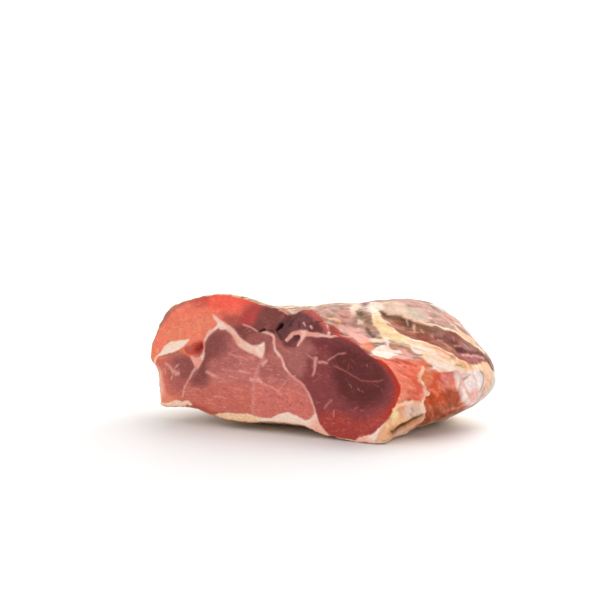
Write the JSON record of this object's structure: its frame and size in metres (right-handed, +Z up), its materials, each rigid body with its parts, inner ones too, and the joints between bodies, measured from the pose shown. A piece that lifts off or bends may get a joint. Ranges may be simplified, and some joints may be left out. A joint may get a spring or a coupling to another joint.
{
  "type": "serrano ham",
  "caption": "Half of a boneless dry-cured ham, lying on its skin side with the flat cut face upright, tapering to a rounded end.",
  "frame": {"origin": "on the board, under the middle of the whole ham", "axes": "+X along the cut face from the flap to the thigh, +Y from the cut face to the rounded end, +Z up"},
  "size_m": [0.2546, 0.168, 0.1059],
  "materials": {
    "cured_ham": "dark red marbled lean on the cut, cream and yellow fat, dried mauve and orange-brown rind"
  },
  "bodies": {
    "root": {"ham": "cured_ham"}
  },
  "joints": []
}
